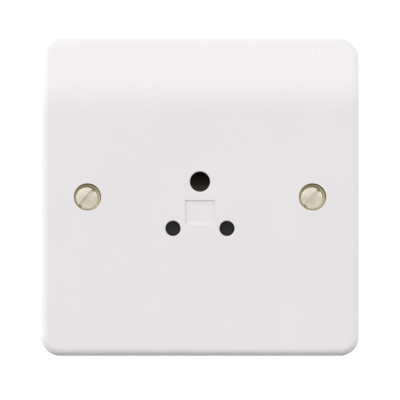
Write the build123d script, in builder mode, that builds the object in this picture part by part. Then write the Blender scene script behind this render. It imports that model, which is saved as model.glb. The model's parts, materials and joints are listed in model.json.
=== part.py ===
"""Unswitched single wall socket for small round three-pin plugs, with a sliding shutter.

Millimetres. X runs to the right seen from the room, Z runs up, and Y runs into the wall.
The origin is on the wall plane, at the centre of the plate, level with the two fixing screws.
"""

import os

from build123d import *

# Front plate
plate_half = 43.0
face_depth = 9.5
face_wall = 3.0
side_wall = 2.6
corner_radius = 5.4
front_edge_radius = 2.2
side_draft = 2.5
bend_start = 23.0
bend_radius = 32.0
bend_angle = 20.0
mouth_radius = 0.25

# Bare recess between the pin holes
recess_width = 8.1
recess_height = 6.6
recess_depth = 0.4
recess_corner = 0.3
recess_z = -4.15

# Pin pattern of the plug, and the holes that let the pins in
pin_spacing = 14.48
pin_rise = 12.54
earth_z = 4.09
line_pin_radius = 1.78
earth_pin_radius = 2.54
line_pin_length = 14.3
earth_pin_length = 20.6
line_hole_radius = 2.05
earth_hole_radius = 2.72

# Fixing screws, their brass eyelets and the bosses that hold them
fixing_spacing = 60.3
fixing_thread_radius = 1.75
fixing_shank_radius = 1.5
fixing_neck_length = 7.8
fixing_length = 25.0
fixing_head_radius = 3.02
fixing_head_height = 1.7
fixing_slot_width = 0.95
fixing_slot_depth = 0.6
fixing_slot_angle = 50.0
screw_settle_x = -0.21
screw_settle_z = -0.36
screw_dome = 0.15
head_edge_radius = 0.3
small_head_edge_radius = 0.2
point_chamfer = 0.4
slot_over = 0.1
cup_radius = 3.62
cup_depth = 2.1
eyelet_wall = 0.14
eyelet_lip = 0.06
eyelet_floor = 0.4
eyelet_tube_radius = 2.5
eyelet_flare_radius = 3.2
eyelet_flare = 0.4
fixing_boss_radius = 5.2
press_gap = 0.03
rib_thickness = 1.2
rib_height = 3.5

# Contact base behind the plate
base_half_width = 20.0
base_bottom = -21.0
base_top = 19.0
base_rear = 13.5
base_corner = 2.5
base_wall = 1.6
base_edge = 0.6
locating_rib_height = 2.0
locating_gap = 0.2
chamber_floor = -1.4
live_chamber_inner = 3.4
live_chamber_outer = 14.6
live_chamber_top = -4.7
earth_chamber_half = 5.0
earth_chamber_bottom = -0.7
side_pocket_bottom = 4.6
core_half = 1.8
core_floor = 2.2
wire_notch_half = 2.6
wire_notch_floor = 0.6

# Screws that hold the base to the plate
base_screw_x = 15.2
base_screw_z = -0.8
base_screw_radius = 1.35
base_screw_length = 8.5
base_screw_head_radius = 2.6
base_screw_head_height = 1.7
base_boss_radius = 2.9
base_boss_end = -0.5
pilot_gap = 0.05
pilot_end = -7.5
screw_seat = 1.5
well_gap = 0.5
screw_hole_gap = 0.25
boss_gap = 0.2

# Shutter and its spring
slide_depth = 3.2
slide_gap = 0.2
guide_gap = 0.3
shutter_half_width = 10.6
shutter_bottom = -13.0
blade_cover = 0.1
shutter_travel = 4.6
stem_half_width = 3.0
ramp_front_z = 0.9
ramp_lift = 4.4
nose_end = 0.3
nose_bottom = 2.2
stem_shoulder = -0.2
shutter_corner = 0.6
spring_pocket_half = 1.4
spring_bridge = 1.5
spring_radius = 0.95
spring_wire_radius = 0.15
spring_turns = 7
spring_wire_sides = 8
spring_end_gap = 0.1

# Brass contacts
contact_gap = 0.05
line_tube_wall = 0.8
earth_tube_wall = 0.9
line_tube_front = -2.7
earth_tube_front = 0.8
tip_room = 0.6
tube_end_wall = 0.8
tube_gap = 0.1
tube_slot_width = 0.6
tube_slot_margin = 1.2
arm_thickness = 1.0
arm_step_start = 7.9
arm_step_end = 8.9
earth_arm_half = 3.0
clip_thickness = 0.3
clip_gap = 0.05
clip_width = 3.0
clip_inset = 1.4
clip_opening = 60.0

# Terminal blocks, their screws and the earth strap
block_width = 7.0
block_height = 7.0
block_depth = 7.0
block_chamfer = 0.4
live_block_x = 9.7
live_block_z = -15.5
earth_block_z = 13.1
wire_radius = 1.75
wire_offset = 3.0
terminal_screw_radius = 1.5
terminal_screw_head_radius = 2.6
terminal_screw_head_height = 1.8
terminal_screw_length = 3.6
terminal_screw_lift = 1.4
terminal_tapping_gap = 0.05
small_slot_width = 0.9
small_slot_depth = 0.8
live_slot_angle = 25.0
neutral_slot_angle = 70.0
earth_slot_angle = -35.0
base_slot_angle = 15.0
strap_thickness = 0.8
strap_width = 5.0
strap_ring_radius = 5.0
strap_z = 11.4
strap_corner_x = 21.5
strap_gap = 0.2

# Places worked out from the sizes above
face_y = -face_depth
plate_rear = face_y + face_wall
line_x = pin_spacing / 2
line_z = earth_z - pin_rise
fixing_x = fixing_spacing / 2
strap_front = chamber_floor
strap_rear = strap_front + strap_thickness
deck_front = plate_rear + slide_depth
shutter_front = plate_rear + slide_gap
shutter_rear = deck_front - slide_gap
slide_half_width = shutter_half_width + guide_gap
slide_top = line_z + line_hole_radius + blade_cover + guide_gap
slide_bottom = base_bottom + base_wall
blade_top = slide_top - guide_gap
stem_channel_half = stem_half_width + guide_gap
line_tube_radius = line_pin_radius + contact_gap + line_tube_wall
earth_tube_radius = earth_pin_radius + contact_gap + earth_tube_wall
line_bore_end = face_y + line_pin_length + tip_room
earth_bore_end = face_y + earth_pin_length + tip_room
ramp_top = earth_z - earth_pin_radius + ramp_lift
spring_pocket_top = blade_top - spring_bridge
spring_room = spring_pocket_top - slide_bottom - 2 * (spring_end_gap + spring_wire_radius)
spring_foot = slide_bottom + spring_end_gap + spring_wire_radius
spring_y = (shutter_front + shutter_rear) / 2
live_block_front = chamber_floor + arm_thickness
earth_block_front = strap_rear + arm_thickness
cup_floor = face_y + cup_depth


def wall_plane(y):
    """Plane at depth y along the wall: X to the right, Z up, its normal towards the room."""
    return Plane.XZ.offset(-y)


def plate_form(half, depth, bend, corner):
    """Solid with drafted sides and the plate's side view: flat face, round bend and sloping top."""
    with BuildPart() as form:
        with BuildSketch(wall_plane(0)):
            RectangleRounded(2 * half, 2 * half, corner)
        extrude(amount=depth, taper=side_draft)
        with BuildSketch(Plane.YZ):
            with BuildLine():
                Line((0, -half), (-depth, -half))
                Line((-depth, -half), (-depth, bend_start))
                curve = JernArc((-depth, bend_start), (0, 1), bend, -bend_angle)
                slope = PolarLine(curve @ 1, half - (curve @ 1).Y, 90 - bend_angle,
                                  length_mode=LengthMode.VERTICAL)
                Line(slope @ 1, (0, half))
                Line((0, half), (0, -half))
            make_face()
        extrude(amount=half, both=True, mode=Mode.INTERSECT)
    return form.part


def rectangle_between(x0, x1, z0, z1, mode=Mode.ADD):
    """Rectangle from corner to corner in the plane of the sketch."""
    with Locations(((x0 + x1) / 2, (z0 + z1) / 2)):
        Rectangle(abs(x1 - x0), abs(z1 - z0), mode=mode)


def is_front_edge(edge):
    """True where the front meets the four sides of the plate."""
    middle = edge.center()
    inside = max(abs(middle.X), abs(middle.Z)) < plate_half - corner_radius
    along_side = edge.bounding_box().size.Y > face_depth / 3 and edge.geom_type == GeomType.LINE
    return middle.Y < -1 and not inside and not along_side


# Front plate
outer_form = plate_form(plate_half, face_depth, bend_radius, corner_radius)
hollow_form = plate_form(plate_half - side_wall, face_depth - face_wall, bend_radius - face_wall,
                         corner_radius - side_wall)
with BuildPart() as front_plate:
    add(outer_form)
    fillet(front_plate.edges().filter_by(is_front_edge), radius=front_edge_radius)
    add(hollow_form, mode=Mode.SUBTRACT)
    # Bosses, locating rib and stiffening ribs on the rear
    with BuildSketch(wall_plane(strap_front)):
        with Locations((-fixing_x, 0), (fixing_x, 0)):
            Circle(fixing_boss_radius)
    extrude(amount=strap_front - plate_rear)
    with BuildSketch(wall_plane(base_boss_end)):
        with Locations((-base_screw_x, base_screw_z), (base_screw_x, base_screw_z)):
            Circle(base_boss_radius)
    extrude(amount=base_boss_end - plate_rear)
    with BuildSketch(wall_plane(plate_rear + locating_rib_height)):
        with Locations((0, (base_top + base_bottom) / 2)):
            height = base_top - base_bottom
            inner = 2 * locating_gap
            outer = inner + 2 * rib_thickness
            RectangleRounded(2 * base_half_width + outer, height + outer,
                             base_corner + locating_gap + rib_thickness)
            RectangleRounded(2 * base_half_width + inner, height + inner,
                             base_corner + locating_gap, mode=Mode.SUBTRACT)
    extrude(amount=locating_rib_height)
    rib_from = base_half_width + locating_gap + rib_thickness / 2
    rib_to = plate_half - side_wall / 2
    with BuildSketch(wall_plane(plate_rear + rib_height)):
        for side in (-1, 1):
            rectangle_between(side * rib_from, side * rib_to, -rib_thickness / 2, rib_thickness / 2)
    extrude(amount=rib_height)
    # Pin holes with rounded mouths, and the shallow bare recess between them
    with BuildSketch(wall_plane(0)):
        with Locations((-line_x, line_z), (line_x, line_z)):
            Circle(line_hole_radius)
        with Locations((0, earth_z)):
            Circle(earth_hole_radius)
    extrude(amount=face_depth, mode=Mode.SUBTRACT)
    mouths = front_plate.edges().filter_by(GeomType.CIRCLE).filter_by(
        lambda edge: abs(edge.center().Y - face_y) < 0.01 and edge.radius < eyelet_flare_radius
    )
    fillet(mouths, radius=mouth_radius)
    with BuildSketch(wall_plane(face_y + recess_depth)):
        with Locations((0, recess_z)):
            RectangleRounded(recess_width, recess_height, recess_corner)
    extrude(amount=recess_depth, mode=Mode.SUBTRACT)
    # Stepped holes for the eyelets, and blind pilot holes for the base screws
    with BuildSketch(wall_plane(face_y + cup_depth + eyelet_floor)):
        with Locations((-fixing_x, 0), (fixing_x, 0)):
            Circle(cup_radius + press_gap)
    extrude(amount=cup_depth + eyelet_floor, mode=Mode.SUBTRACT)
    with BuildSketch(wall_plane(strap_front)):
        with Locations((-fixing_x, 0), (fixing_x, 0)):
            Circle(eyelet_tube_radius + press_gap)
    extrude(amount=strap_front - face_y, mode=Mode.SUBTRACT)
    with BuildSketch(wall_plane(base_boss_end)):
        with Locations((-base_screw_x, base_screw_z), (base_screw_x, base_screw_z)):
            Circle(base_screw_radius + pilot_gap)
    extrude(amount=base_boss_end - pilot_end, mode=Mode.SUBTRACT)

# Contact base and the shutter housing in front of it, drawn as one block with all their hollows
with BuildPart() as base_block:
    with BuildSketch(wall_plane(base_rear)):
        with Locations((0, (base_top + base_bottom) / 2)):
            RectangleRounded(2 * base_half_width, base_top - base_bottom, base_corner)
    extrude(amount=base_rear - plate_rear)
    chamfer(base_block.faces().sort_by(Axis.Y)[-1].edges(), length=base_edge)
    # Chambers and cored pockets, open to the rear
    with BuildSketch(wall_plane(base_rear)):
        for side in (-1, 1):
            rectangle_between(side * live_chamber_inner, side * live_chamber_outer,
                              base_bottom + base_wall, live_chamber_top)
            rectangle_between(side * (earth_chamber_half + base_wall),
                              side * (base_half_width - base_wall),
                              side_pocket_bottom, base_top - base_wall)
        rectangle_between(-earth_chamber_half, earth_chamber_half,
                          earth_chamber_bottom, base_top - base_wall)
    extrude(amount=base_rear - chamber_floor, mode=Mode.SUBTRACT)
    # Channel from the front for the earth strap, which is on the plate before the base
    with BuildSketch(wall_plane(strap_rear)):
        rectangle_between(-base_half_width - 1, base_half_width + 1,
                          strap_z - strap_width / 2 - strap_gap,
                          strap_z + strap_width / 2 + strap_gap)
    extrude(amount=strap_rear - plate_rear, mode=Mode.SUBTRACT)
    with BuildSketch(wall_plane(base_rear)):
        rectangle_between(-core_half, core_half, base_bottom + 2 * base_wall,
                          earth_chamber_bottom - base_wall)
    extrude(amount=base_rear - core_floor, mode=Mode.SUBTRACT)
    # Notches that let the wires in, below for the two live poles and above for the earth
    with BuildSketch(wall_plane(base_rear)):
        for side in (-1, 1):
            rectangle_between(side * live_block_x - wire_notch_half,
                              side * live_block_x + wire_notch_half,
                              base_bottom - 1, base_bottom + 2 * base_wall)
        rectangle_between(-wire_notch_half, wire_notch_half,
                          base_top - 2 * base_wall, base_top + 1)
    extrude(amount=base_rear - wire_notch_floor, mode=Mode.SUBTRACT)
    # Slide way for the shutter in the front, with a channel for its stem
    with BuildSketch(wall_plane(deck_front)):
        rectangle_between(-slide_half_width, slide_half_width, slide_bottom, slide_top)
        rectangle_between(-stem_channel_half, stem_channel_half, slide_top - 1,
                          earth_z + earth_hole_radius + guide_gap)
    extrude(amount=slide_depth, mode=Mode.SUBTRACT)
    with BuildSketch(wall_plane(nose_end + guide_gap)):
        with Locations((0, earth_z)):
            Circle(earth_hole_radius + guide_gap / 2)
        rectangle_between(-stem_channel_half, stem_channel_half,
                          stem_shoulder - shutter_travel - guide_gap, ramp_top + guide_gap)
    extrude(amount=nose_end + guide_gap - deck_front, mode=Mode.SUBTRACT)
    # Stepped holes that hold the mouths of the live contact tubes
    with BuildSketch(wall_plane(chamber_floor)):
        with Locations((-line_x, line_z), (line_x, line_z)):
            Circle(line_hole_radius)
    extrude(amount=chamber_floor - deck_front, mode=Mode.SUBTRACT)
    with BuildSketch(wall_plane(chamber_floor)):
        with Locations((-line_x, line_z), (line_x, line_z)):
            Circle(line_tube_radius + tube_gap)
    extrude(amount=chamber_floor - line_tube_front, mode=Mode.SUBTRACT)
    # Wells for the base screws, and sockets that fit over the bosses of the plate
    screw_places = Locations((-base_screw_x, base_screw_z), (base_screw_x, base_screw_z))
    with BuildSketch(wall_plane(base_rear)):
        with screw_places:
            Circle(base_screw_head_radius + well_gap)
    extrude(amount=base_rear - screw_seat, mode=Mode.SUBTRACT)
    with BuildSketch(wall_plane(screw_seat)):
        with screw_places:
            Circle(base_screw_radius + screw_hole_gap)
    extrude(amount=screw_seat - base_boss_end, mode=Mode.SUBTRACT)
    with BuildSketch(wall_plane(base_boss_end)):
        with screw_places:
            Circle(base_boss_radius + boss_gap)
    extrude(amount=base_boss_end - plate_rear, mode=Mode.SUBTRACT)

# The block is moulded in two, which meet in the plane of the chambers' floor below the strap
with BuildPart() as housing_zone:
    with BuildSketch(wall_plane(chamber_floor)):
        rectangle_between(-base_half_width, base_half_width,
                          base_bottom, strap_z - strap_width / 2 - strap_gap)
    extrude(amount=chamber_floor - plate_rear)
with BuildPart() as shutter_housing:
    add(base_block.part)
    add(housing_zone.part, mode=Mode.INTERSECT)
with BuildPart() as contact_base:
    add(base_block.part)
    add(housing_zone.part, mode=Mode.SUBTRACT)

# Shutter: two blades on a crossbar, and a stem with a ramp that the earth pin pushes down
with BuildPart() as shutter:
    with BuildSketch(wall_plane(shutter_rear)):
        rectangle_between(-shutter_half_width, shutter_half_width, shutter_bottom, blade_top)
        rectangle_between(-spring_pocket_half, spring_pocket_half, shutter_bottom - 1,
                          spring_pocket_top, mode=Mode.SUBTRACT)
    extrude(amount=shutter_rear - shutter_front)
    fillet(shutter.edges().filter_by(Axis.Y), radius=shutter_corner)
    with BuildSketch(Plane.YZ):
        with BuildLine():
            Polyline(
                (shutter_front, spring_pocket_top),
                (shutter_front, ramp_front_z),
                (nose_end, ramp_top),
                (nose_end, nose_bottom),
                (shutter_rear, stem_shoulder),
                (shutter_rear, spring_pocket_top),
                close=True,
            )
        make_face()
    extrude(amount=stem_half_width, both=True)

# Compression spring under the shutter
with BuildPart() as shutter_spring:
    with BuildLine() as coil:
        Helix(pitch=spring_room / spring_turns, height=spring_room, radius=spring_radius,
              center=(0, spring_y, spring_foot))
    with BuildSketch(Plane(origin=coil.line @ 0, z_dir=coil.line % 0)):
        RegularPolygon(spring_wire_radius, spring_wire_sides)
    sweep(is_frenet=True)


def make_contact(x, z, bore, wall, front, bore_end, slot_front, arm):
    """Brass contact tube with a closed end and two side slots, and the flat arm that it stands on."""
    with BuildPart() as contact:
        add(arm)
        with BuildSketch(wall_plane(bore_end + tube_end_wall)):
            with Locations((x, z)):
                Circle(bore + wall)
        extrude(amount=bore_end + tube_end_wall - front)
        with BuildSketch(wall_plane(bore_end)):
            with Locations((x, z)):
                Circle(bore)
        extrude(amount=bore_end - front, mode=Mode.SUBTRACT)
        with BuildSketch(wall_plane(bore_end - tube_slot_margin)):
            with Locations((x, z)):
                Rectangle(tube_slot_width, 2 * (bore + wall) + 1)
        extrude(amount=bore_end - tube_slot_margin - slot_front, mode=Mode.SUBTRACT)
    return contact


# Contacts of the two live poles: the arm spreads from the tube to the foot of the terminal block
with BuildPart() as line_arm:
    with BuildSketch(wall_plane(live_block_front)):
        with Locations((line_x, line_z)):
            Circle(line_tube_radius)
        with Locations((live_block_x, live_block_z)):
            Rectangle(block_width, block_height)
        make_hull()
    extrude(amount=arm_thickness)
line_contact = make_contact(line_x, line_z, line_pin_radius + contact_gap, line_tube_wall,
                            line_tube_front, line_bore_end, live_block_front + tube_slot_margin,
                            line_arm.part)
with BuildPart() as neutral_contact:
    mirror(line_contact.part, about=Plane.YZ)

# Earth contact: its arm steps down from the tube to the strap
with BuildPart() as earth_arm:
    with BuildSketch(Plane.YZ):
        with BuildLine():
            arm_top = earth_block_z + block_height / 2
            bend_shift = arm_thickness / 2
            Polyline(
                (earth_tube_front, earth_z),
                (earth_tube_front, arm_step_start),
                (strap_rear, arm_step_end),
                (strap_rear, arm_top),
                (earth_block_front, arm_top),
                (earth_block_front, arm_step_end + bend_shift),
                (earth_tube_front + arm_thickness, arm_step_start + bend_shift),
                (earth_tube_front + arm_thickness, earth_z),
                close=True,
            )
        make_face()
    extrude(amount=earth_arm_half, both=True)
earth_contact = make_contact(0, earth_z, earth_pin_radius + contact_gap, earth_tube_wall,
                             earth_tube_front, earth_bore_end,
                             earth_tube_front + arm_thickness + tube_slot_margin, earth_arm.part)


def make_clip(x, z, tube_radius, bore_end):
    """Open spring ring that presses the slotted wall of a contact tube on the pin."""
    with BuildPart() as clip:
        with BuildSketch(wall_plane(bore_end - clip_inset)):
            with BuildLine():
                CenterArc((x, z), tube_radius + clip_gap + clip_thickness / 2,
                          90 + clip_opening / 2, 360 - clip_opening)
            trace(line_width=clip_thickness)
        extrude(amount=clip_width)
    return clip


line_clip = make_clip(line_x, line_z, line_tube_radius, line_bore_end)
neutral_clip = make_clip(-line_x, line_z, line_tube_radius, line_bore_end)
earth_clip = make_clip(0, earth_z, earth_tube_radius, earth_bore_end)


def make_block(x, z, front):
    """Brass terminal block: wire hole up and down, and a tapped hole into it from the rear."""
    rear = front + block_depth
    with BuildPart() as block:
        with BuildSketch(wall_plane(rear)):
            with Locations((x, z)):
                Rectangle(block_width, block_height)
        extrude(amount=block_depth)
        chamfer(block.faces().sort_by(Axis.Y)[-1].edges(), length=block_chamfer)
        with BuildSketch(Plane.XY.offset(z - block_height / 2)):
            with Locations((x, front + wire_offset)):
                Circle(wire_radius)
        extrude(amount=block_height, mode=Mode.SUBTRACT)
        with BuildSketch(wall_plane(rear)):
            with Locations((x, z)):
                Circle(terminal_screw_radius + terminal_tapping_gap)
        extrude(amount=block_depth - wire_offset, mode=Mode.SUBTRACT)
    return block


line_terminal = make_block(live_block_x, live_block_z, live_block_front)
neutral_terminal = make_block(-live_block_x, live_block_z, live_block_front)
earth_terminal = make_block(0, earth_block_z, earth_block_front)


def make_screw(x, z, seat, toward, head_radius, head_height, edge_radius, neck_radius, neck_length,
               shank_radius, length, slot_width, slot_depth, slot_angle):
    """Slotted screw whose head sits at depth seat; toward is 1 where its point goes into the wall."""
    top = seat - toward * head_height
    tip = seat + toward * length
    dome_radius = (head_radius ** 2 + screw_dome ** 2) / (2 * screw_dome)
    with BuildPart() as screw:
        with BuildSketch(Plane.XY.offset(z)):
            with BuildLine():
                RadiusArc((x, top - toward * screw_dome), (x + head_radius, top),
                          -toward * dome_radius)
                Polyline(
                    (x + head_radius, top),
                    (x + head_radius, seat),
                    (x + neck_radius, seat),
                    (x + neck_radius, seat + toward * neck_length),
                    (x + shank_radius, seat + toward * neck_length),
                    (x + shank_radius, tip - toward * point_chamfer),
                    (x + shank_radius - point_chamfer, tip),
                    (x, tip),
                    (x, top - toward * screw_dome),
                )
            make_face()
        revolve(axis=Axis((x, 0, z), (0, 1, 0)))
        rim = screw.edges().filter_by(GeomType.CIRCLE).filter_by(
            lambda edge: abs(edge.radius - head_radius) < 0.01 and abs(edge.center().Y - top) < 0.01
        )
        fillet(rim, radius=edge_radius)
        slot_bottom = top + toward * slot_depth
        slot_top = top - toward * (screw_dome + slot_over)
        with BuildSketch(wall_plane(max(slot_bottom, slot_top))):
            with Locations(Location((x, z, 0), (0, 0, slot_angle))):
                Rectangle(2 * head_radius + 1, slot_width)
        extrude(amount=abs(slot_top - slot_bottom), mode=Mode.SUBTRACT)
    return screw


def make_fixing_screw(side):
    """Long machine screw that holds the plate to the box in the wall."""
    return make_screw(
        side * fixing_x + screw_settle_x, screw_settle_z, cup_floor, 1,
        fixing_head_radius, fixing_head_height, head_edge_radius,
        fixing_shank_radius, fixing_neck_length,
        fixing_thread_radius, fixing_length, fixing_slot_width, fixing_slot_depth,
        fixing_slot_angle)


def make_base_screw(side):
    """Short screw that holds the contact base to a boss of the plate."""
    return make_screw(
        side * base_screw_x, base_screw_z, screw_seat, -1,
        base_screw_head_radius, base_screw_head_height, small_head_edge_radius,
        base_screw_radius - point_chamfer / 4, screw_seat - base_boss_end,
        base_screw_radius, base_screw_length,
        small_slot_width, small_slot_depth, side * base_slot_angle)


def make_terminal_screw(x, z, block_front, slot_angle):
    """Screw that clamps a wire in its terminal block."""
    return make_screw(
        x, z, block_front + block_depth + terminal_screw_lift, -1,
        terminal_screw_head_radius, terminal_screw_head_height, small_head_edge_radius,
        terminal_screw_radius - point_chamfer / 4, terminal_screw_lift / 2,
        terminal_screw_radius, terminal_screw_length,
        small_slot_width, small_slot_depth, slot_angle)


fixing_screw_left = make_fixing_screw(-1)
fixing_screw_right = make_fixing_screw(1)
base_screw_left = make_base_screw(-1)
base_screw_right = make_base_screw(1)
line_terminal_screw = make_terminal_screw(
    live_block_x, live_block_z, live_block_front, live_slot_angle)
neutral_terminal_screw = make_terminal_screw(
    -live_block_x, live_block_z, live_block_front, neutral_slot_angle)
earth_terminal_screw = make_terminal_screw(0, earth_block_z, earth_block_front, earth_slot_angle)

# Earth strap from eyelet to eyelet, past the foot of the earth contact
with BuildPart() as earth_strap:
    with BuildSketch(wall_plane(strap_rear)):
        with BuildLine():
            Polyline((-fixing_x, 0), (-strap_corner_x, strap_z), (strap_corner_x, strap_z),
                     (fixing_x, 0))
        trace(line_width=strap_width)
        with Locations((-fixing_x, 0), (fixing_x, 0)):
            Circle(strap_ring_radius)
            Circle(eyelet_tube_radius + press_gap, mode=Mode.SUBTRACT)
    extrude(amount=strap_thickness)


def make_eyelet(side):
    """Brass eyelet: a cup for the screw head, a tube through the boss and a flare over the strap."""
    x = side * fixing_x
    hole = eyelet_tube_radius - eyelet_wall
    flare_end = strap_rear + eyelet_flare
    with BuildPart() as eyelet:
        with BuildSketch(Plane.XY):
            with BuildLine():
                Polyline(
                    (x + cup_radius - eyelet_lip, face_y),
                    (x + cup_radius, face_y),
                    (x + cup_radius, cup_floor + eyelet_floor),
                    (x + eyelet_tube_radius, cup_floor + eyelet_floor),
                    (x + eyelet_tube_radius, strap_rear),
                    (x + eyelet_flare_radius, strap_rear),
                    (x + eyelet_flare_radius, flare_end),
                    (x + hole, flare_end),
                    (x + hole, cup_floor),
                    (x + cup_radius - eyelet_wall, cup_floor),
                    close=True,
                )
            make_face()
        revolve(axis=Axis((x, 0, 0), (0, 1, 0)))
    return eyelet


eyelet_left = make_eyelet(-1)
eyelet_right = make_eyelet(1)

pieces = {
    "front_plate": front_plate,
    "contact_base": contact_base,
    "shutter_housing": shutter_housing,
    "shutter": shutter,
    "shutter_spring": shutter_spring,
    "line_contact": line_contact,
    "neutral_contact": neutral_contact,
    "earth_contact": earth_contact,
    "line_clip": line_clip,
    "neutral_clip": neutral_clip,
    "earth_clip": earth_clip,
    "line_terminal": line_terminal,
    "neutral_terminal": neutral_terminal,
    "earth_terminal": earth_terminal,
    "line_terminal_screw": line_terminal_screw,
    "neutral_terminal_screw": neutral_terminal_screw,
    "earth_terminal_screw": earth_terminal_screw,
    "earth_strap": earth_strap,
    "eyelet_left": eyelet_left,
    "eyelet_right": eyelet_right,
    "fixing_screw_left": fixing_screw_left,
    "fixing_screw_right": fixing_screw_right,
    "base_screw_left": base_screw_left,
    "base_screw_right": base_screw_right,
}
os.makedirs("parts", exist_ok=True)
for name, piece in pieces.items():
    piece.part.label = name
    export_step(piece.part, f"parts/{name}.step")
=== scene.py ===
"""Round pin wall socket: finishes of its pieces, screw threads, spring, light and camera."""

import json
import math

import bmesh
import bpy
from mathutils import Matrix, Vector


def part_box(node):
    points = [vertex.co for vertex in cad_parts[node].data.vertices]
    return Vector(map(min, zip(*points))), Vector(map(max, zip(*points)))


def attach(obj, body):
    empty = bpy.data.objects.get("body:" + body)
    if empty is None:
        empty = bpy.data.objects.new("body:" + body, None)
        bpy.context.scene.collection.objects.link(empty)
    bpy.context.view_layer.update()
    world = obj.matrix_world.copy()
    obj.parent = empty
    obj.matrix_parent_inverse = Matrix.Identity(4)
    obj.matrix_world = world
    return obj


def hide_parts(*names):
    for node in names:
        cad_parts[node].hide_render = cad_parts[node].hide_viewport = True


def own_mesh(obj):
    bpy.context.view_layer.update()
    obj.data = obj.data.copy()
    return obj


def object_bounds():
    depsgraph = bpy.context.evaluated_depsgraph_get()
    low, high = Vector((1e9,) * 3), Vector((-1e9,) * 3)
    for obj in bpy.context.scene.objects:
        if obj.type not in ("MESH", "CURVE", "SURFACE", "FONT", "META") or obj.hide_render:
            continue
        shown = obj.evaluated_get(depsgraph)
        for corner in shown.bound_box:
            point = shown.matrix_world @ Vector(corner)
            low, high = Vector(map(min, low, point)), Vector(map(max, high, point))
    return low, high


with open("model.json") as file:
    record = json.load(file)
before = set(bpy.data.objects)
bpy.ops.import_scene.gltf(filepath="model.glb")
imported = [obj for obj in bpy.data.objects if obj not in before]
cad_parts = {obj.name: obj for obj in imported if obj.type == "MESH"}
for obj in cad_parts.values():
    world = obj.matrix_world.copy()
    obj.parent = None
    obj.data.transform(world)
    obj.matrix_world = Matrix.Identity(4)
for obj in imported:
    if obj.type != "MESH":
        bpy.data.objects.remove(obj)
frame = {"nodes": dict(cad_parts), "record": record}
solids_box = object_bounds()
solids = frame["nodes"]

MM = 0.001
merge_distance = 0.0005 * MM
turned_steps = 72

# Fixing screws: radii, and depths along Y, in millimetres
crown_top = -9.25
screw_head = {"radius": 3.0, "crown": 0.36, "edge": 0.22, "edge_drop": 0.08, "rim": 0.03}
rim_end = crown_top + screw_head["crown"] + screw_head["edge_drop"] + screw_head["rim"]
head_steps = 18
shank_radius = 1.5
point_radius = 0.95
point_length = 0.7
# Distances from the shank's end and from the start of its narrower root to the thread
shank_to_thread, root_to_thread = 0.3, 0.1
screw_slot = {"width": 0.95, "floor": -8.81}
slot_lean = math.radians(50)

# Threads, in millimetres; toward is 1 where the tip lies behind the head, and -1 in front of it
fixing_thread = {"crest": 1.74, "root": 1.4, "pitch": 0.6, "start": 0.7, "tip": 17.2, "toward": 1}
base_thread = {"crest": 1.5, "root": 1.16, "pitch": 0.7, "start": -0.7, "tip": -6.9, "toward": -1}
thread_rows_per_turn = 28
thread_runout = 0.35
end_turns_left_out = 1.2

# Eyelets, in millimetres: a cup with a sloping ledge that the head seats on, a tube and a flare
eyelet = {"wall_foot": 3.38, "wall_top": 3.55, "lip": 3.60, "lip_round": 0.07, "ledge_inner": 2.72,
          "ledge_slope": 0.18, "foot_width": 0.08, "seat_gap": 0.02, "cup_depth": 2.5}
eyelet_tube = {"inner": 2.36, "outer": 2.5, "flare": 3.2, "flare_height": 0.4, "flare_steps": 7}
head_to_ledge_inner = 0.42

# Painted shade on a scale from 0 to 1, at a slot's ends and along its upper edge. A face is the
# slot's when its middle lies within slot_margin of the slot's walls and crown_margin below the top of
# the crown
slot_end_painted_shade = 0.9
slot_end_painted_shade_from, slot_end_painted_shade_over = 2.35, 0.35
slot_edge_painted_shade = {"left": 1.0, "right": 0.35}
slot_edge_share = 0.76
slot_margin, crown_margin = 0.01, 0.05

# Painted shade round an eyelet, on the same scale: most at its top, and some at its right
eyelet_top_at, eyelet_right_at = math.radians(100), math.radians(-15)
wall_painted_shade = {"least": 0.2, "top": 0.8, "top_power": 1.0, "right": 0.4}
ledge_painted_shade = {"least": 0.0, "top": 0.85, "top_power": 1.5, "right": 0.3}
right_power = 3
wall_margin = 0.04

# Return spring, in millimetres
spring_wire_radius = 0.15
spring_turns = 9.0

# Painted shade and light on the shutter by height in millimetres, from the blades up to the tip of
# the ramp: darker at the top of the live and neutral holes, paler and browner low on the earth ramp
shutter_foot, shutter_top = solids["shutter"].bound_box[0][2], solids["shutter"].bound_box[1][2]
shutter_painted_shades = ((-10.5, (0.031, 0.029, 0.031)), (-9.0, (0.026, 0.025, 0.026)),
                  (-7.2, (0.011, 0.010, 0.012)), (-3.0, (0.025, 0.023, 0.023)),
                  (1.5, (0.110, 0.088, 0.082)), (6.5, (0.070, 0.056, 0.052)))

# The earth pin, and how far in millimetres the painted shade in the bore of its contact reaches past
# it
earth_pin = next(mount for mount in frame["record"]["mounts"] if mount["name"] == "earth_pin")
past_bore = 0.25


def add_node(tree, kind, sockets=None, **settings):
    """Adds a node and fills the sockets that nothing is joined to."""
    made = tree.nodes.new(kind)
    for name, value in settings.items():
        setattr(made, name, value)
    for name, value in (sockets or {}).items():
        made.inputs[name].default_value = value
    return made


def reckon(tree, operation, first, second=None, third=None):
    """Math on outputs of nodes or plain numbers, as one output."""
    node = add_node(tree, "ShaderNodeMath", operation=operation)
    for socket, value in zip(node.inputs, (first, second, third)):
        if value is None:
            continue
        if isinstance(value, (int, float)):
            socket.default_value = value
        else:
            tree.links.new(value, socket)
    return node.outputs["Value"]


def start_finish(name, metal, gloss_index=1.5):
    """New finish with its shader, and the place on the piece that its patterns follow."""
    finish = bpy.data.materials.new(name)
    finish.use_nodes = True
    tree = finish.node_tree
    shader = tree.nodes["Principled BSDF"]
    shader.inputs["Metallic"].default_value = metal
    shader.inputs["IOR"].default_value = gloss_index
    place = add_node(tree, "ShaderNodeTexCoord").outputs["Object"]
    return finish, tree, shader, place


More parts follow.
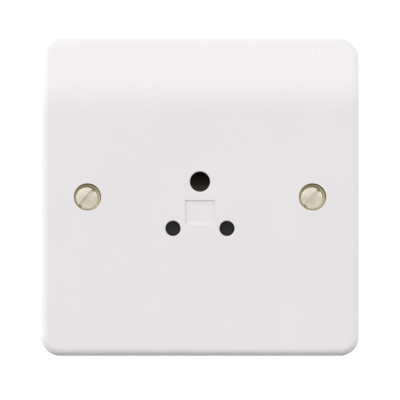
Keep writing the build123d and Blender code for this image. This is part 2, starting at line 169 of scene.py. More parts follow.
def stretched(tree, place, turn, stretch):
    """The place turned and then stretched, so that marks run long in the turned direction."""
    mapping = add_node(tree, "ShaderNodeMapping", {"Rotation": turn, "Scale": stretch},
                       vector_type="TEXTURE")
    tree.links.new(place, mapping.inputs["Vector"])
    return mapping.outputs["Vector"]


def mottle(tree, place, size, detail=2.0, roughness=0.5):
    """Cloudy pattern whose patches are about size metres across."""
    noise = add_node(tree, "ShaderNodeTexNoise",
                     {"Scale": 1 / size, "Detail": detail, "Roughness": roughness})
    tree.links.new(place, noise.inputs["Vector"])
    return noise.outputs["Fac"]


def shade_between(tree, amount, dark, light, low=0.3, high=0.7):
    """Colour that goes from dark to light with the amount."""
    ramp = add_node(tree, "ShaderNodeValToRGB")
    ramp.color_ramp.elements[0].position = low
    ramp.color_ramp.elements[0].color = (*dark, 1)
    ramp.color_ramp.elements[1].position = high
    ramp.color_ramp.elements[1].color = (*light, 1)
    tree.links.new(amount, ramp.inputs["Fac"])
    return ramp.outputs["Color"]


def value_between(tree, amount, least, most, low=0.3, high=0.7):
    """Number that goes from least to most with the amount."""
    spread = add_node(tree, "ShaderNodeMapRange",
                      {"From Min": low, "From Max": high, "To Min": least, "To Max": most})
    tree.links.new(amount, spread.inputs["Value"])
    return spread.outputs["Result"]


def relief(tree, shader, height, depth, under=None):
    """Raises and sinks the surface by up to depth metres, on top of the relief under it."""
    bump = add_node(tree, "ShaderNodeBump", {"Strength": 1.0, "Distance": depth})
    tree.links.new(height, bump.inputs["Height"])
    if under is not None:
        tree.links.new(under, bump.inputs["Normal"])
    tree.links.new(bump.outputs["Normal"], shader.inputs["Normal"])
    return bump.outputs["Normal"]


def mixed(tree, amount, first, second, blend_type="MIX"):
    """Mix of two colours, each a plain one or a node's output."""
    mix = add_node(tree, "ShaderNodeMix", data_type="RGBA", blend_type=blend_type)
    for name, value in (("Factor_Float", amount), ("A_Color", first), ("B_Color", second)):
        socket = next(socket for socket in mix.inputs if socket.identifier == name)
        if isinstance(value, bpy.types.NodeSocket):
            tree.links.new(value, socket)
        elif isinstance(value, tuple):
            socket.default_value = (*value, 1)
        else:
            socket.default_value = value
    return next(output for output in mix.outputs if output.identifier == "Result_Color")


def with_painted_shade(tree, clean, shade_colour):
    """Clean colour that turns to the shade colour where the piece is marked with painted shade."""
    painted_shade = add_node(tree, "ShaderNodeAttribute", attribute_name="painted_shade").outputs["Fac"]
    return mixed(tree, painted_shade, clean, shade_colour)


def glossy_white_moulding():
    """White urea of the front plate: polished mould, a faint cloud in the white, soft ripple."""
    finish, tree, shader, place = start_finish("glossy_white_moulding", 0.0)
    cloud = mottle(tree, place, 0.018, 3.0)
    tree.links.new(shade_between(tree, cloud, (0.788, 0.764, 0.771), (0.804, 0.780, 0.788)),
                   shader.inputs["Base Color"])
    haze = mottle(tree, place, 0.006, 4.0, 0.6)
    tree.links.new(value_between(tree, haze, 0.27, 0.34), shader.inputs["Roughness"])
    ripple = mottle(tree, place, 0.0035, 1.0)
    grain = mottle(tree, place, 0.0003, 2.0)
    waves = relief(tree, shader, ripple, 0.000004)
    relief(tree, shader, grain, 0.0000008, under=waves)
    shader.inputs["Coat Weight"].default_value = 0.15
    shader.inputs["Coat Roughness"].default_value = 0.12
    return finish


def matt_cream_moulding():
    """Harder, duller moulding of the contact base, with flow marks."""
    finish, tree, shader, place = start_finish("matt_cream_moulding", 0.0)
    flow = mottle(tree, stretched(tree, place, (0, 0, 0), (1, 1, 3)), 0.007, 4.0, 0.6)
    tree.links.new(shade_between(tree, flow, (0.66, 0.635, 0.575), (0.725, 0.70, 0.645)),
                   shader.inputs["Base Color"])
    tree.links.new(value_between(tree, flow, 0.42, 0.56), shader.inputs["Roughness"])
    grain = mottle(tree, place, 0.00035, 3.0)
    relief(tree, shader, grain, 0.000006)
    return finish


def dark_shutter_moulding():
    """Dark grey nylon of the shutter, satin, with painted shade high in the live and neutral holes
    and painted light, paler and browner, low on the earth ramp.
    """
    finish, tree, shader, place = start_finish("dark_shutter_moulding", 0.0, 1.36)
    height = add_node(tree, "ShaderNodeSeparateXYZ")
    tree.links.new(place, height.inputs["Vector"])
    # Painted shade and light by height: darker at the top of each live and neutral hole, paler low in
    # the earth hole
    painted_height_shade = add_node(tree, "ShaderNodeValToRGB")
    tree.links.new(value_between(tree, height.outputs["Z"], 0.0, 1.0, shutter_foot, shutter_top),
                   painted_height_shade.inputs["Fac"])
    steps = painted_height_shade.color_ramp.elements
    while len(steps) < len(shutter_painted_shades):
        steps.new(0.5)
    for step, (at, shade) in zip(steps, shutter_painted_shades):
        step.position = (at * MM - shutter_foot) / (shutter_top - shutter_foot)
        step.color = (*shade, 1)
    cloud = mottle(tree, place, 0.003, 3.0)
    clouded = mixed(tree, 1.0, painted_height_shade.outputs["Color"],
                    shade_between(tree, cloud, (0.84, 0.84, 0.84), (1, 1, 1)), "MULTIPLY")
    tree.links.new(clouded, shader.inputs["Base Color"])
    tree.links.new(value_between(tree, cloud, 0.38, 0.5), shader.inputs["Roughness"])
    grain = mottle(tree, place, 0.00025, 2.0)
    relief(tree, shader, grain, 0.000006)
    return finish


def inside_earth_tube(tree, place):
    """One inside the earth contact's tube, whose brass is painted dark as shade, and nought
    elsewhere.
    """
    spot = add_node(tree, "ShaderNodeSeparateXYZ")
    tree.links.new(place, spot.inputs["Vector"])
    centre_x, _, centre_z = earth_pin["pos_m"]
    across = reckon(tree, "POWER", reckon(tree, "SUBTRACT", spot.outputs["X"], centre_x), 2)
    up = reckon(tree, "POWER", reckon(tree, "SUBTRACT", spot.outputs["Z"], centre_z), 2)
    reach = (earth_pin["dims"]["r_mm"] + past_bore) * MM
    return reckon(tree, "LESS_THAN", reckon(tree, "ADD", across, up), reach ** 2)


def rolled_brass():
    """Strip and bar brass of the contacts: rolling lines, patches of tarnish, and painted shade
    inside the earth tube.
    """
    finish, tree, shader, place = start_finish("rolled_brass", 1.0)
    lines = mottle(tree, stretched(tree, place, (0, 0, 0), (16, 1, 1)), 0.00022, 3.0, 0.6)
    tarnish = mottle(tree, place, 0.0045, 4.0, 0.6)
    bright = shade_between(tree, lines, (0.74, 0.55, 0.235), (0.83, 0.64, 0.30))
    tarnished = mixed(tree, value_between(tree, tarnish, 0.0, 0.5, 0.5, 0.75), bright,
                      (0.47, 0.31, 0.13))
    # Painted shade: the brass inside the earth tube is made near black
    bore_painted_shade = mixed(tree, inside_earth_tube(tree, place), tarnished, (0.05, 0.042, 0.036))
    tree.links.new(bore_painted_shade, shader.inputs["Base Color"])
    tree.links.new(value_between(tree, tarnish, 0.22, 0.42), shader.inputs["Roughness"])
    relief(tree, shader, lines, 0.000004)
    return finish


def drawn_eyelet_brass():
    """Drawn brass of the eyelets, paler than the contacts, with brown painted shade round the heads.
    """
    finish, tree, shader, place = start_finish("drawn_eyelet_brass", 1.0)
    tarnish = mottle(tree, place, 0.0016, 3.0, 0.55)
    brass = shade_between(tree, tarnish, (0.76, 0.67, 0.44), (0.88, 0.80, 0.57))
    # Brown painted shade where the eyelet is marked, most at the top of its cup
    tree.links.new(with_painted_shade(tree, brass, (0.165, 0.122, 0.05)), shader.inputs["Base Color"])
    tree.links.new(value_between(tree, tarnish, 0.30, 0.42), shader.inputs["Roughness"])
    draw_lines = mottle(tree, stretched(tree, place, (0, 0, 0), (1, 12, 1)), 0.0002, 2.0)
    relief(tree, shader, draw_lines, 0.000003)
    return finish


def brushed_nickel():
    """Nickel plate of the fixing screws, brushed along the slot, yellowed, with brown painted shade
    in the slot.
    """
    finish, tree, shader, place = start_finish("brushed_nickel", 1.0)
    along_slot = stretched(tree, place, (0, -slot_lean, 0), (20, 1, 1))
    brush = mottle(tree, along_slot, 0.00009, 3.0, 0.6)
    wear = mottle(tree, place, 0.0022, 3.0)
    nickel = mixed(tree, value_between(tree, brush, 0.0, 1.0, 0.35, 0.65),
                   shade_between(tree, wear, (0.58, 0.52, 0.405), (0.66, 0.60, 0.485)),
                   shade_between(tree, wear, (0.69, 0.635, 0.52), (0.76, 0.71, 0.60)))
    # Brown painted shade where the screw is marked: at the slot's ends and along its upper edge
    tree.links.new(with_painted_shade(tree, nickel, (0.25, 0.175, 0.06)), shader.inputs["Base Color"])
    tree.links.new(value_between(tree, brush, 0.25, 0.4), shader.inputs["Roughness"])
    relief(tree, shader, brush, 0.000003)
    return finish


def zinc_plate():
    """Zinc-plated steel of the small screws, with the cloudy lustre of the plating."""
    finish, tree, shader, place = start_finish("zinc_plate", 1.0)
    cloud = mottle(tree, place, 0.0012, 4.0, 0.6)
    tree.links.new(shade_between(tree, cloud, (0.60, 0.61, 0.62), (0.74, 0.75, 0.75)),
                   shader.inputs["Base Color"])
    tree.links.new(value_between(tree, cloud, 0.26, 0.42), shader.inputs["Roughness"])
    turning = mottle(tree, place, 0.0002, 2.0)
    relief(tree, shader, turning, 0.000005)
    return finish


def spring_wire_finish():
    """Hard drawn wire and strip, dark where it was tempered."""
    finish, tree, shader, place = start_finish("spring_wire_finish", 1.0)
    temper = mottle(tree, place, 0.002, 3.0)
    tree.links.new(shade_between(tree, temper, (0.33, 0.33, 0.34), (0.52, 0.52, 0.52)),
                   shader.inputs["Base Color"])
    tree.links.new(value_between(tree, temper, 0.25, 0.4), shader.inputs["Roughness"])
    die_lines = mottle(tree, place, 0.00015, 2.0)
    relief(tree, shader, die_lines, 0.000003)
    return finish


finishes = {
    "plate_white": glossy_white_moulding(),
    "base_white": matt_cream_moulding(),
    "shutter_grey": dark_shutter_moulding(),
    "brass": rolled_brass(),
    "eyelet_brass": drawn_eyelet_brass(),
    "nickel": brushed_nickel(),
    "zinc_steel": zinc_plate(),
    "spring_steel": spring_wire_finish(),
}
slot_of = {part["node"]: part["material_slot"] for part in frame["record"]["subparts"]}
for name, solid in solids.items():
    for slot in solid.material_slots:
        slot.material = finishes[slot_of[name]]


def start_tree(name, inputs):
    """Empty geometry tree with named inputs for its sizes, and its two end nodes."""
    tree = bpy.data.node_groups.new(name, "GeometryNodeTree")
    for label, kind, default in inputs:
        socket = tree.interface.new_socket(label, in_out="INPUT", socket_type=kind)
        if default is not None:
            socket.default_value = default
    tree.interface.new_socket("Geometry", in_out="OUTPUT", socket_type="NodeSocketGeometry")
    return tree, tree.nodes.new("NodeGroupInput"), tree.nodes.new("NodeGroupOutput")


def finish_tree(tree, given, end, geometry):
    """Closes a tree: real geometry with the finish on it."""
    real = tree.nodes.new("GeometryNodeRealizeInstances")
    coat = tree.nodes.new("GeometryNodeSetMaterial")
    tree.links.new(geometry, real.inputs["Geometry"])
    tree.links.new(real.outputs["Geometry"], coat.inputs["Geometry"])
    tree.links.new(given.outputs["Finish"], coat.inputs["Material"])
    tree.links.new(coat.outputs["Geometry"], end.inputs["Geometry"])


def thread_tree():
    """Screw thread: a strip one pitch wide, wound round the shank, that fades at both ends.

    Across its pitch the strip has five rows of corners. The two that lie within crest_half of
    crest_middle stand at the crest, and the rest at the root.
    """
    rows_across, crest_middle, crest_half, fade_rate = 5, 0.625, 0.2, 1.4
    join_distance = 0.01 * MM
    tree, given, end = start_tree("screw_thread", (
        ("Crest Radius", "NodeSocketFloat", 1.75 * MM),
        ("Root Radius", "NodeSocketFloat", 1.4 * MM),
        ("Pitch", "NodeSocketFloat", 0.6 * MM),
        ("Turns", "NodeSocketFloat", 20.0),
        ("Rows", "NodeSocketInt", 600),
        ("Start", "NodeSocketFloat", 0.0),
        ("Toward", "NodeSocketFloat", 1.0),
        ("Across", "NodeSocketFloat", 0.0),
        ("Up", "NodeSocketFloat", 0.0),
        ("Finish", "NodeSocketMaterial", None),
    ))
    get = given.outputs
    strip = add_node(tree, "GeometryNodeMeshGrid", {"Size Y": 1.0, "Vertices Y": rows_across})
    tree.links.new(get["Turns"], strip.inputs["Size X"])
    tree.links.new(get["Rows"], strip.inputs["Vertices X"])
    spot = add_node(tree, "ShaderNodeSeparateXYZ")
    tree.links.new(tree.nodes.new("GeometryNodeInputPosition").outputs["Position"],
                   spot.inputs["Vector"])
    turn = reckon(tree, "MULTIPLY_ADD", get["Turns"], 0.5, spot.outputs["X"])
    across_pitch = reckon(tree, "ADD", spot.outputs["Y"], 0.5)
    off_crest = reckon(tree, "ABSOLUTE", reckon(tree, "SUBTRACT", across_pitch, crest_middle))
    on_crest = reckon(tree, "LESS_THAN", off_crest, crest_half)
    to_end = reckon(tree, "MINIMUM", turn, reckon(tree, "SUBTRACT", get["Turns"], turn))
    fade = reckon(tree, "MINIMUM", reckon(tree, "MULTIPLY", to_end, fade_rate), 1.0)
    rise = reckon(tree, "MULTIPLY", reckon(tree, "SUBTRACT", get["Crest Radius"], get["Root Radius"]),
                  reckon(tree, "MULTIPLY", on_crest, fade))
    radius = reckon(tree, "ADD", get["Root Radius"], rise)
    angle = reckon(tree, "MULTIPLY", reckon(tree, "MULTIPLY", turn, get["Toward"]), 2 * math.pi)
    advance = reckon(tree, "MULTIPLY", reckon(tree, "MULTIPLY", get["Pitch"], get["Toward"]),
                     reckon(tree, "ADD", turn, across_pitch))
    wound = add_node(tree, "ShaderNodeCombineXYZ")
    tree.links.new(reckon(tree, "MULTIPLY_ADD", radius, reckon(tree, "SINE", angle), get["Across"]),
                   wound.inputs["X"])
    tree.links.new(reckon(tree, "ADD", get["Start"], advance), wound.inputs["Y"])
    tree.links.new(reckon(tree, "MULTIPLY_ADD", radius, reckon(tree, "COSINE", angle), get["Up"]),
                   wound.inputs["Z"])
    wind = tree.nodes.new("GeometryNodeSetPosition")
    tree.links.new(strip.outputs["Mesh"], wind.inputs["Geometry"])
    tree.links.new(wound.outputs["Vector"], wind.inputs["Position"])
    merge = add_node(tree, "GeometryNodeMergeByDistance", {"Distance": join_distance})
    tree.links.new(wind.outputs["Geometry"], merge.inputs["Geometry"])
    # Faces that look at the shank's axis are turned over
    place = add_node(tree, "ShaderNodeSeparateXYZ")
    tree.links.new(tree.nodes.new("GeometryNodeInputPosition").outputs["Position"],
                   place.inputs["Vector"])
    outward = add_node(tree, "ShaderNodeCombineXYZ")
    tree.links.new(reckon(tree, "SUBTRACT", place.outputs["X"], get["Across"]), outward.inputs["X"])
    tree.links.new(reckon(tree, "SUBTRACT", place.outputs["Z"], get["Up"]), outward.inputs["Z"])
    facing = add_node(tree, "ShaderNodeVectorMath", operation="DOT_PRODUCT")
    tree.links.new(tree.nodes.new("GeometryNodeInputNormal").outputs["Normal"], facing.inputs[0])
    tree.links.new(outward.outputs["Vector"], facing.inputs[1])
    inward = add_node(tree, "FunctionNodeCompare", {"B": 0.0}, operation="LESS_THAN")
    tree.links.new(facing.outputs["Value"], inward.inputs["A"])
    flip = tree.nodes.new("GeometryNodeFlipFaces")
    tree.links.new(merge.outputs["Geometry"], flip.inputs["Mesh"])
    tree.links.new(inward.outputs["Result"], flip.inputs["Selection"])
    finish_tree(tree, given, end, flip.outputs["Mesh"])
    return tree


def spring_tree():
    """Compression spring: a wire wound up the Z axis, with its end turns closed."""
    closed_share, closed_rise, points_along, wire_sides = 0.13, 0.027, 420, 12
    tree, given, end = start_tree("closed_end_spring", (
        ("Coil Radius", "NodeSocketFloat", 0.95 * MM),
        ("Wire Radius", "NodeSocketFloat", 0.15 * MM),
        ("Turns", "NodeSocketFloat", 7.0),
        ("Length", "NodeSocketFloat", 11 * MM),
        ("Foot", "NodeSocketVector", (0, 0, 0)),
        ("Finish", "NodeSocketMaterial", None),
    ))
    get = given.outputs
    line = add_node(tree, "GeometryNodeCurvePrimitiveLine")
    points = add_node(tree, "GeometryNodeResampleCurve", {"Count": points_along})
    tree.links.new(line.outputs["Curve"], points.inputs["Curve"])
    along = tree.nodes.new("GeometryNodeSplineParameter").outputs["Factor"]
    rise = add_node(tree, "ShaderNodeFloatCurve")
    curve = rise.mapping.curves[0]
    for at, height in ((closed_share, closed_rise), (1 - closed_share, 1 - closed_rise)):
        curve.points.new(at, height)
    for point in curve.points:
        point.handle_type = "VECTOR"
    rise.mapping.update()
    tree.links.new(along, rise.inputs["Value"])
    angle = reckon(tree, "MULTIPLY", reckon(tree, "MULTIPLY", along, get["Turns"]), 2 * math.pi)
    wound = add_node(tree, "ShaderNodeCombineXYZ")
    tree.links.new(reckon(tree, "MULTIPLY", get["Coil Radius"], reckon(tree, "COSINE", angle)),
                   wound.inputs["X"])
    tree.links.new(reckon(tree, "MULTIPLY", get["Coil Radius"], reckon(tree, "SINE", angle)),
                   wound.inputs["Y"])
    tree.links.new(reckon(tree, "MULTIPLY", get["Length"], rise.outputs["Value"]),
                   wound.inputs["Z"])
    stand = add_node(tree, "ShaderNodeVectorMath", operation="ADD")
    tree.links.new(wound.outputs["Vector"], stand.inputs[0])
    tree.links.new(get["Foot"], stand.inputs[1])
    wind = tree.nodes.new("GeometryNodeSetPosition")
    tree.links.new(points.outputs["Curve"], wind.inputs["Geometry"])
    tree.links.new(stand.outputs["Vector"], wind.inputs["Position"])
    section = add_node(tree, "GeometryNodeCurvePrimitiveCircle", {"Resolution": wire_sides})
    tree.links.new(get["Wire Radius"], section.inputs["Radius"])
    wire = add_node(tree, "GeometryNodeCurveToMesh", {"Fill Caps": True})
    tree.links.new(wind.outputs["Geometry"], wire.inputs["Curve"])
    tree.links.new(section.outputs["Curve"], wire.inputs["Profile Curve"])
    finish_tree(tree, given, end, wire.outputs["Mesh"])
    return tree


def grow(name, tree, sizes):
    """Plain mesh object that a geometry tree makes with these sizes."""
    piece = bpy.data.objects.new(name, bpy.data.meshes.new(name))
    bpy.context.scene.collection.objects.link(piece)
    modifier = piece.modifiers.new(tree.name, "NODES")
    modifier.node_group = tree
    for item in tree.interface.items_tree:
        if item.name in sizes:
            modifier[item.identifier] = sizes[item.name]
    bpy.context.view_layer.update()
    evaluated = piece.evaluated_get(bpy.context.evaluated_depsgraph_get())
    mesh = bpy.data.meshes.new_from_object(evaluated)
    piece.modifiers.clear()
    piece.data = mesh
    mesh.name = name
    return piece


def axis_of(node):
    """X and Z of the axis along Y that a turned piece has."""
    low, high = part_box(node)
    return (low.x + high.x) / 2, (low.z + high.z) / 2


def smooth(piece, sharpest):
    """Rounds the shading, and keeps the edges that turn by more than sharpest degrees."""
    piece.data.shade_smooth()
    piece.data.set_sharp_from_angle(angle=math.radians(sharpest))


def merge_corners(form):
    """Makes one corner of those that lie in the same place."""
    bmesh.ops.remove_doubles(form, verts=form.verts, dist=merge_distance)


def order_faces(form):
    """Orders the faces by their corners, because spinning orders them anew in each run."""
    form.verts.index_update()
    in_order = sorted(form.faces, key=lambda face: sorted(corner.index for corner in face.verts))
    ranks = {face: rank for rank, face in enumerate(in_order)}
    form.faces.sort(key=ranks.get)


def new_piece(name, form):
    """Object in the scene with the form."""
    mesh = bpy.data.meshes.new(name)
    form.to_mesh(mesh)
    form.free()
    piece = bpy.data.objects.new(name, mesh)
    bpy.context.scene.collection.objects.link(piece)
    return piece


def merged_copy(name, node):
    """New piece with the form of a solid, its triangles joined."""
    form = bmesh.new()
    form.from_mesh(solids[node].data)
    merge_corners(form)
    piece = new_piece(name, form)
    piece.data.attributes.remove(piece.data.attributes["custom_normal"])
    piece.data.materials.append(finishes[slot_of[node]])
    return piece


def stand_in_for(piece, node):
    """The piece takes the node's place on the housing, and the node is hidden."""
    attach(piece, "housing")
    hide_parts(node)


def add_thread(screw, tree, finish, centre_x, centre_z, crest, root, pitch, start, tip, toward):
    """Winds the thread round the shank and joins it to the screw."""
    turns = abs(tip - start) / pitch - end_turns_left_out
    thread = grow(screw.name + "_thread", tree, {
        "Crest Radius": crest * MM, "Root Radius": root * MM, "Pitch": pitch * MM,
        "Turns": turns, "Rows": int(turns * thread_rows_per_turn) + 1, "Start": start * MM,
        "Toward": float(toward), "Across": centre_x, "Up": centre_z, "Finish": finish,
    })
    whole = bmesh.new()
    whole.from_mesh(screw.data)
    whole.from_mesh(thread.data)
    whole.to_mesh(screw.data)
    whole.free()
    bpy.data.objects.remove(thread)


def base_screw(side, tree, crest, root, pitch, start, tip, toward):
    """Screw with the solid's head and slot, its shank cut down to the root and a real thread."""
    node = "base_screw_" + side
    centre_x, centre_z = axis_of(node)
    screw = merged_copy(node + "_threaded", node)
    for vertex in screw.data.vertices:
        out = Vector((vertex.co.x - centre_x, vertex.co.z - centre_z))
        behind_start = toward * (vertex.co.y - start * MM) > -thread_runout * MM
        if behind_start and out.length > root * MM:
            out.length = root * MM
            vertex.co.x, vertex.co.z = centre_x + out.x, centre_z + out.y
    add_thread(screw, tree, finishes[slot_of[node]], centre_x, centre_z,
               crest, root, pitch, start, tip, toward)
    smooth(screw, 32)
    stand_in_for(screw, node)


def turned(name, outline, centre_x, centre_z):
    """Piece turned about an axis along Y, from its outline as pairs of radius and depth in mm."""
    form = bmesh.new()
    points = [form.verts.new((centre_x + radius * MM, depth * MM, centre_z))
              for radius, depth in outline]
    for first, second in zip(points, points[1:]):
        form.edges.new((first, second))
    bmesh.ops.spin(form, geom=form.verts[:] + form.edges[:], cent=(centre_x, 0, centre_z),
                   axis=(0, 1, 0), angle=2 * math.pi, steps=turned_steps, use_merge=True)
    merge_corners(form)
    order_faces(form)
    bmesh.ops.recalc_face_normals(form, faces=form.faces)
    return new_piece(name, form)


def head_outline(radius, crown, edge, edge_drop, rim):
    """Outline of a raised head, from the top of its crown along its underside to the shank."""
    outline = []
    for step in range(head_steps + 1):
        out = radius * math.sin(step / head_steps * math.pi / 2)
        drop = crown * (out / radius) ** 2
        if out > radius - edge:
            part = min((out - radius + edge) / edge, 1)
            drop += edge_drop * (1 - math.sqrt(1 - part ** 2))
        outline.append((out, crown_top + drop))
    neck = eyelet["ledge_inner"] - head_to_ledge_inner
    neck_start = rim_end + (radius - neck) * eyelet["ledge_slope"]
    return outline + [(radius, crown_top + crown + edge_drop + rim), (neck, neck_start),
                      (shank_radius, neck_start + neck - shank_radius)]


def slot_cutter(centre, along, across, width, floor):
    """Bar that is taken out of a head, with rings of corners where the painted shade on its floor
    changes.
    """
    clear_of_head = crown_top - 1.25
    stations = (-4.0, -2.9, -2.6, -2.2, 2.2, 2.6, 2.9, 4.0)
    section = ((-1, floor), (slot_edge_share, floor), (1, floor), (1, clear_of_head),
               (-1, clear_of_head))
    form = bmesh.new()
    rings = []
    for station in stations:
        rings.append([form.verts.new(centre + along * station * MM + across * side * width / 2 * MM
                                     + Vector((0, depth * MM, 0))) for side, depth in section])
    for first, second in zip(rings, rings[1:]):
        for corner in range(len(section)):
            after = (corner + 1) % len(section)
            form.faces.new((first[corner], first[after], second[after], second[corner]))
    form.faces.new(rings[0])
    form.faces.new(rings[-1])
    bmesh.ops.recalc_face_normals(form, faces=form.faces)
    return new_piece("slot_cutter", form)


def cut_slot(piece, centre_x, centre_z, edge_painted_shade, width, floor):
    """Cuts the driver's slot, and marks its ends and one edge with painted shade."""
    along = Vector((math.cos(slot_lean), 0, math.sin(slot_lean)))
    across = Vector((-along.z, 0, along.x))
    centre = Vector((centre_x, 0, centre_z))
    cutter = slot_cutter(centre, along, across, width, floor)
    cut = piece.modifiers.new("slot", "BOOLEAN")
    cut.object = cutter
    cut.operation = "DIFFERENCE"
    cut.solver = "EXACT"
    bpy.context.view_layer.update()
    evaluated = piece.evaluated_get(bpy.context.evaluated_depsgraph_get())
    slotted = bpy.data.meshes.new_from_object(evaluated)
    piece.modifiers.clear()
    piece.data = slotted
    bpy.data.objects.remove(cutter)
    # Painted shade on the slot's floor: darker towards its ends, which the eyelet's cup shades, and
    # in a strip along its upper wall, which shades it
    painted_shade = slotted.attributes.new("painted_shade", "FLOAT", "CORNER")
    for face in slotted.polygons:
        middle = face.center - centre
        aside = middle.dot(across) / MM
        if abs(aside) > width / 2 + slot_margin or middle.y < (crown_top + crown_margin) * MM:
            continue
        on_edge = edge_painted_shade if aside > slot_edge_share * width / 2 else 0
        for corner in face.loop_indices:
            place = slotted.vertices[slotted.loops[corner].vertex_index].co - centre
            past = (abs(place.dot(along)) / MM - slot_end_painted_shade_from) / slot_end_painted_shade_over
            painted_shade.data[corner].value = max(slot_end_painted_shade * min(max(past, 0), 1), on_edge)


def fixing_screw(side, tree):
    """Raised countersunk screw with a slot and a real thread, low in its eyelet."""
    node = "fixing_screw_" + side
    centre_x, centre_z = axis_of(node)
    root, start, tip = fixing_thread["root"], fixing_thread["start"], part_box(node)[1].y / MM
    outline = head_outline(**screw_head)
    outline += [(shank_radius, start - shank_to_thread), (root, start - root_to_thread),
                (root, tip - point_length), (point_radius, tip), (0, tip)]
    screw = turned(node + "_threaded", outline, centre_x, centre_z)
    screw.data.materials.append(finishes["nickel"])
    cut_slot(screw, centre_x, centre_z, slot_edge_painted_shade[side], **screw_slot)
    add_thread(screw, tree, finishes["nickel"], centre_x, centre_z, **fixing_thread)
    smooth(screw, 32)
    stand_in_for(screw, node)


def eyelet_outline(cup, front, end, wall_foot, wall_top, lip, lip_round, ledge_inner, ledge_slope,
                   foot_width, seat_gap, cup_depth):
    """Closed outline of an eyelet: outside of the cup and tube, flare, bore, ledge, wall and lip."""
    inner, outer, flare = eyelet_tube["inner"], eyelet_tube["outer"], eyelet_tube["flare"]
    height, steps = eyelet_tube["flare_height"], eyelet_tube["flare_steps"]
    seat = rim_end + seat_gap
    ledge_end = seat + (wall_foot - ledge_inner) * ledge_slope
    outline = [(cup, front), (cup, front + cup_depth), (outer, front + cup_depth),
               (outer, end - height), (flare, end - height)]
    for step in range(1, steps + 1):
        turn = step / steps * math.pi / 2
        outline.append((inner + (flare - inner) * math.cos(turn),
                        end - height + height * math.sin(turn)))
    return outline + [(inner, ledge_end + ledge_inner - inner), (ledge_inner, ledge_end),
                      (wall_foot - foot_width, seat + foot_width * ledge_slope), (wall_foot, seat),
                      (wall_top, front + lip_round), (lip, front), (cup, front)]


def brass_eyelet(side):
    """Eyelet with a ledge for the screw's head, its end turned out over the earth strap."""
    node = "eyelet_" + side
    low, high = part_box(node)
    centre_x, centre_z = axis_of(node)
    outline = eyelet_outline((high.x - low.x) / 2 / MM, low.y / MM, high.y / MM, **eyelet)
    piece = turned(node + "_drawn", outline, centre_x, centre_z)
    # Painted shade on the cup's wall and ledge: darkest at the top, where the cup lies in shade, and
    # some at the right
    painted_shade = piece.data.attributes.new("painted_shade", "FLOAT", "POINT")
    for vertex, mark in zip(piece.data.vertices, painted_shade.data):
        radius = math.hypot(vertex.co.x - centre_x, vertex.co.z - centre_z) / MM
        turn = math.atan2(vertex.co.z - centre_z, vertex.co.x - centre_x)
        toward_top = 0.5 + 0.5 * math.cos(turn - eyelet_top_at)
        toward_right = 0.5 + 0.5 * math.cos(turn - eyelet_right_at)
        on_wall = radius > eyelet["wall_foot"] - wall_margin
        amounts = wall_painted_shade if on_wall else ledge_painted_shade
        mark.value = min(amounts["least"] + amounts["top"] * toward_top ** amounts["top_power"]
                         + amounts["right"] * toward_right ** right_power, 1)
    piece.data.materials.append(finishes["eyelet_brass"])
    smooth(piece, 30)
    stand_in_for(piece, node)


def return_spring():
    """Spring that the shutter presses as it goes down, with its foot on the housing."""
    low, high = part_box("shutter_spring")
    length = high.z - low.z
    middle_x, middle_y = (low.x + high.x) / 2, (low.y + high.y) / 2
    wire = spring_wire_radius * MM
    spring = grow("shutter_return_spring", spring_tree(), {
        "Coil Radius": (high.x - low.x) / 2 - wire, "Wire Radius": wire, "Turns": spring_turns,
        "Length": length - 2 * wire, "Foot": Vector((middle_x, middle_y, low.z + wire)),
        "Finish": finishes["spring_steel"],
    })
    smooth(spring, 60)
    stand_in_for(spring, "shutter_spring")
    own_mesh(spring)


thread = thread_tree()
for side in ("left", "right"):
    fixing_screw(side, thread)
    brass_eyelet(side)
    base_screw(side, thread, **base_thread)
return_spring()


def pale_floor():
    """Plain pale floor, some way under the plate, which hangs on a wall that isn't shown."""
    mesh = bpy.data.meshes.new("pale_floor")
    floor = bpy.data.objects.new("pale_floor", mesh)
    bpy.context.scene.collection.objects.link(floor)
    reach, level = 0.9, -0.13
    mesh.from_pydata([(-reach, -reach, level), (reach, -reach, level), (reach, reach, level),
                      (-reach, reach, level)], [], [(0, 1, 2, 3)])
    paint = bpy.data.materials.new("pale_floor_paint")
    paint.use_nodes = True
    tree = paint.node_tree
    shader = tree.nodes["Principled BSDF"]
    shader.inputs["Roughness"].default_value = 0.8
    place = add_node(tree, "ShaderNodeTexCoord").outputs["Object"]
    tree.links.new(shade_between(tree, mottle(tree, place, 0.2), (0.80, 0.80, 0.80),
                                 (0.82, 0.82, 0.82)), shader.inputs["Base Color"])
    mesh.materials.append(paint)
    # The photo has no light from below, so the floor throws none back
    floor.visible_diffuse = False


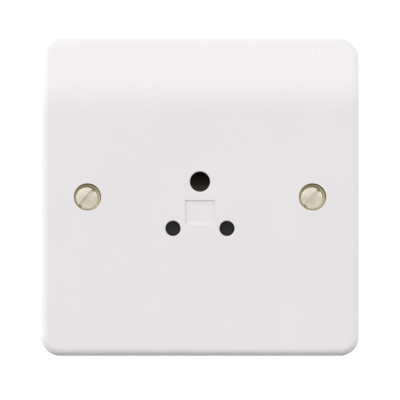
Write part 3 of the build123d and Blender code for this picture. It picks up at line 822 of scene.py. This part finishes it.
def tone_by(tree, amount, stops):
    """Grey that follows the stops as the amount goes from -1 to 1."""
    tone = add_node(tree, "ShaderNodeValToRGB")
    steps = tone.color_ramp.elements
    while len(steps) < len(stops):
        steps.new(0.5)
    for step, (at, grey) in zip(steps, stops):
        step.position = (at + 1) / 2
        step.color = (grey, grey, grey, 1)
    tree.links.new(reckon(tree, "MULTIPLY_ADD", amount, 0.5, 0.5), tone.inputs["Fac"])
    return tone.outputs["Color"]


def studio_light():
    """Large white tent: dark below, brightest just above eye level and towards the left."""
    brightness = 0.935
    world = bpy.data.worlds.new("white_tent")
    bpy.context.scene.world = world
    world.use_nodes = True
    tree = world.node_tree
    direction = add_node(tree, "ShaderNodeSeparateXYZ")
    tree.links.new(add_node(tree, "ShaderNodeTexCoord").outputs["Generated"],
                   direction.inputs["Vector"])
    by_height = tone_by(tree, direction.outputs["Z"], (
        (-1, 0.03), (-0.6, 0.26), (-0.25, 0.71), (0, 0.95), (0.35, 1.40), (1, 0.54)))
    by_depth = tone_by(tree, direction.outputs["Y"], (
        (-1, 0.86), (-0.5, 1.6), (0.1, 1), (0.6, 1.25), (1, 1.25)))
    by_side = tone_by(tree, direction.outputs["X"], (
        (-1, 1.42), (-0.72, 1.46), (-0.45, 1.12), (-0.1, 1), (1, 1.03)))
    tent = reckon(tree, "MULTIPLY", reckon(tree, "MULTIPLY", by_height, by_depth), by_side)
    tree.links.new(tent, tree.nodes["Background"].inputs["Color"])
    tree.nodes["Background"].inputs["Strength"].default_value = brightness


def photo_camera():
    """Camera straight in front of the plate, a little below its middle."""
    distance, shown_width, drop = 0.75, 0.10715, 0.00083
    lens = bpy.data.cameras.new("photo_camera")
    lens.sensor_width = 36
    lens.lens = lens.sensor_width * distance / shown_width
    camera = bpy.data.objects.new("photo_camera", lens)
    bpy.context.scene.collection.objects.link(camera)
    camera.location = (0, solids_box[0][1] - distance, -drop)
    camera.rotation_euler = (math.radians(90), 0, 0)
    bpy.context.scene.camera = camera


pale_floor()
studio_light()
photo_camera()
bpy.context.scene.view_settings.view_transform = "Standard"
